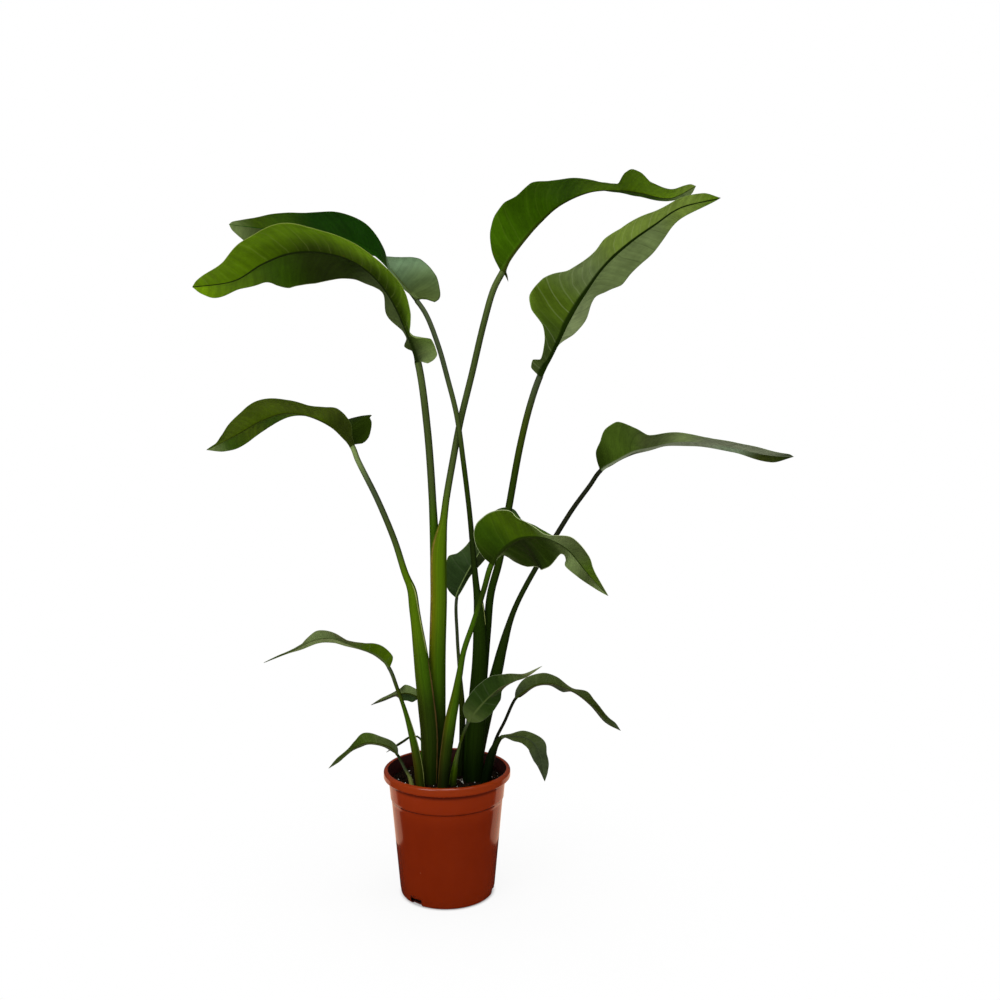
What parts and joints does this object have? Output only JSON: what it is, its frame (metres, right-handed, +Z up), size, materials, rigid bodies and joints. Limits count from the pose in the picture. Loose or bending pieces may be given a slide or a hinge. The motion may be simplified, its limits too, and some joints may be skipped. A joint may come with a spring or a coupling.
{
  "type": "potted bird of paradise plant",
  "caption": "Tall foliage plant with long arching stalks and paddle leaves folded along the rib, standing in soil in a round tapered nursery pot.",
  "frame": {"origin": "middle of the pot's flat underside", "axes": "+Z up; -Y towards the front, from which the leaves spread widest; +X to the right seen from the front"},
  "size_m": [1.099, 0.4476, 1.3492],
  "materials": {
    "pot_plastic": "satin",
    "soil": "matte",
    "stalk": "satin",
    "blade": "satin"
  },
  "bodies": {
    "root": {"pot": "pot_plastic", "soil": "soil", "leaf_01_stalk": "stalk", "leaf_01_blade": "blade", "leaf_02_stalk": "stalk", "leaf_02_blade": "blade", "leaf_03_stalk": "stalk", "leaf_03_blade": "blade", "leaf_04_stalk": "stalk", "leaf_04_blade": "blade", "leaf_05_stalk": "stalk", "leaf_05_blade": "blade", "leaf_06_stalk": "stalk", "leaf_06_blade": "blade", "leaf_07_stalk": "stalk", "leaf_07_blade": "blade", "leaf_08_stalk": "stalk", "leaf_08_blade": "blade", "leaf_09_stalk": "stalk", "leaf_09_blade": "blade", "leaf_10_stalk": "stalk", "leaf_10_blade": "blade", "leaf_11_stalk": "stalk", "leaf_11_blade": "blade", "leaf_12_stalk": "stalk", "leaf_12_blade": "blade", "leaf_13_stalk": "stalk", "leaf_13_blade": "blade", "leaf_14_stalk": "stalk", "leaf_14_blade": "blade", "leaf_15_stalk": "stalk", "leaf_15_blade": "blade"}
  },
  "joints": []
}
